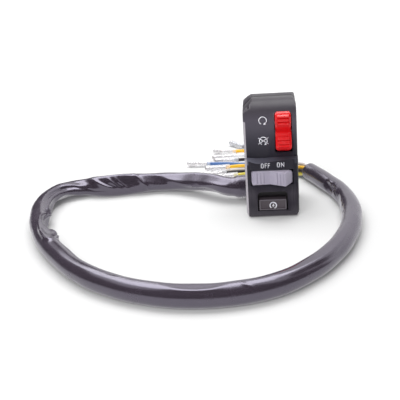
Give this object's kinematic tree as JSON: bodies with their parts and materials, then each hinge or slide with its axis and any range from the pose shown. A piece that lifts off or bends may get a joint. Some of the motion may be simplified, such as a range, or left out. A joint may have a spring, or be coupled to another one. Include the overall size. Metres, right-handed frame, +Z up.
{
  "type": "handlebar switch cluster",
  "caption": "Right-hand motorcycle handlebar switch cluster: clamp housing with engine-stop rocker, light rocker and starter button, with its sleeved harness.",
  "frame": {"origin": "centre of the handlebar clamp bore, half way along its width", "axes": "+X along the handlebar to the rider's right, -Y towards the rider's side of the switch panel, +Z up"},
  "size_m": [0.2054, 0.2799, 0.07],
  "materials": {
    "housing_plastic": "fine moulded texture, satin",
    "red_plastic": "moulded, semi gloss",
    "grey_plastic": "moulded, semi gloss",
    "black_plastic": "moulded",
    "natural_nylon": "moulded nylon",
    "steel": "zinc plated",
    "spring_steel": "bright drawn",
    "brass": "bright",
    "copper": "bright copper",
    "tinned_metal": "tin plated",
    "rubber": "moulded",
    "pvc_sleeve": "soft PVC, slight sheen",
    "clear_plastic": "clear PVC",
    "wire_green_yellow": "PVC insulation with a stripe",
    "wire_black": "PVC insulation",
    "wire_yellow": "PVC insulation",
    "wire_blue": "PVC insulation",
    "wire_white": "PVC insulation",
    "wire_grey": "PVC insulation"
  },
  "bodies": {
    "housing": {"front_housing": "housing_plastic", "rear_housing": "housing_plastic", "starter_base": "black_plastic", "kill_base": "black_plastic", "light_base": "black_plastic", "clamp_screws": "steel", "base_screws": "steel", "kill_pivot_pin": "steel", "light_pivot_pin": "steel", "kill_detent_spring": "spring_steel", "light_detent_spring": "spring_steel", "starter_spring": "spring_steel", "thread_inserts": "brass", "kill_fixed_contacts": "brass", "light_fixed_contacts": "brass", "starter_contacts": "brass", "bullet_terminals": "tinned_metal", "cable_grommet": "rubber", "harness_sleeve": "pvc_sleeve", "clear_sleeves": "clear_plastic", "wire_green_yellow": "wire_green_yellow", "wire_black_front": "wire_black", "wire_black_back": "wire_black", "wire_yellow_front": "wire_yellow", "wire_yellow_back": "wire_yellow", "wire_blue": "wire_blue", "wire_white": "wire_white", "wire_grey": "wire_grey"},
    "kill_rocker": {"kill_rocker": "red_plastic"},
    "kill_slider": {"kill_slider": "natural_nylon", "kill_moving_contact": "copper"},
    "light_rocker": {"light_rocker": "grey_plastic"},
    "light_slider": {"light_slider": "natural_nylon", "light_moving_contact": "copper"},
    "starter": {"starter_button": "black_plastic", "starter_bridge": "copper", "starter_clip": "steel"}
  },
  "joints": [
    {"name": "kill_tilt", "type": "hinge", "parent": "housing", "child": "kill_rocker", "pos_m": [0.0078, -0.0142, 0.0171], "axis": [1, 0, 0], "range_deg": [0, 14]},
    {"name": "kill_slide", "type": "slide", "parent": "housing", "child": "kill_slider", "axis": [0, 0, 1], "range_m": [0, 0.00099], "deforming": ["kill_detent_spring"]},
    {"name": "light_tilt", "type": "hinge", "parent": "housing", "child": "light_rocker", "pos_m": [0, -0.0192, -0.0094], "axis": [0, 0, 1], "range_deg": [0, 18]},
    {"name": "light_slide", "type": "slide", "parent": "housing", "child": "light_slider", "axis": [-1, 0, 0], "range_m": [0, 0.00127], "deforming": ["light_detent_spring"]},
    {"name": "starter_push", "type": "slide", "parent": "housing", "child": "starter", "axis": [0, 1, 0], "range_m": [0, 0.003], "stiffness_N_per_m": 600, "springref_m": -0.002, "deforming": ["starter_spring"]}
  ],
  "couplings": [
    {"joint": "kill_slide", "follows": "kill_tilt", "m_per_rad": 0.004},
    {"joint": "light_slide", "follows": "light_tilt", "m_per_rad": 0.004}
  ]
}
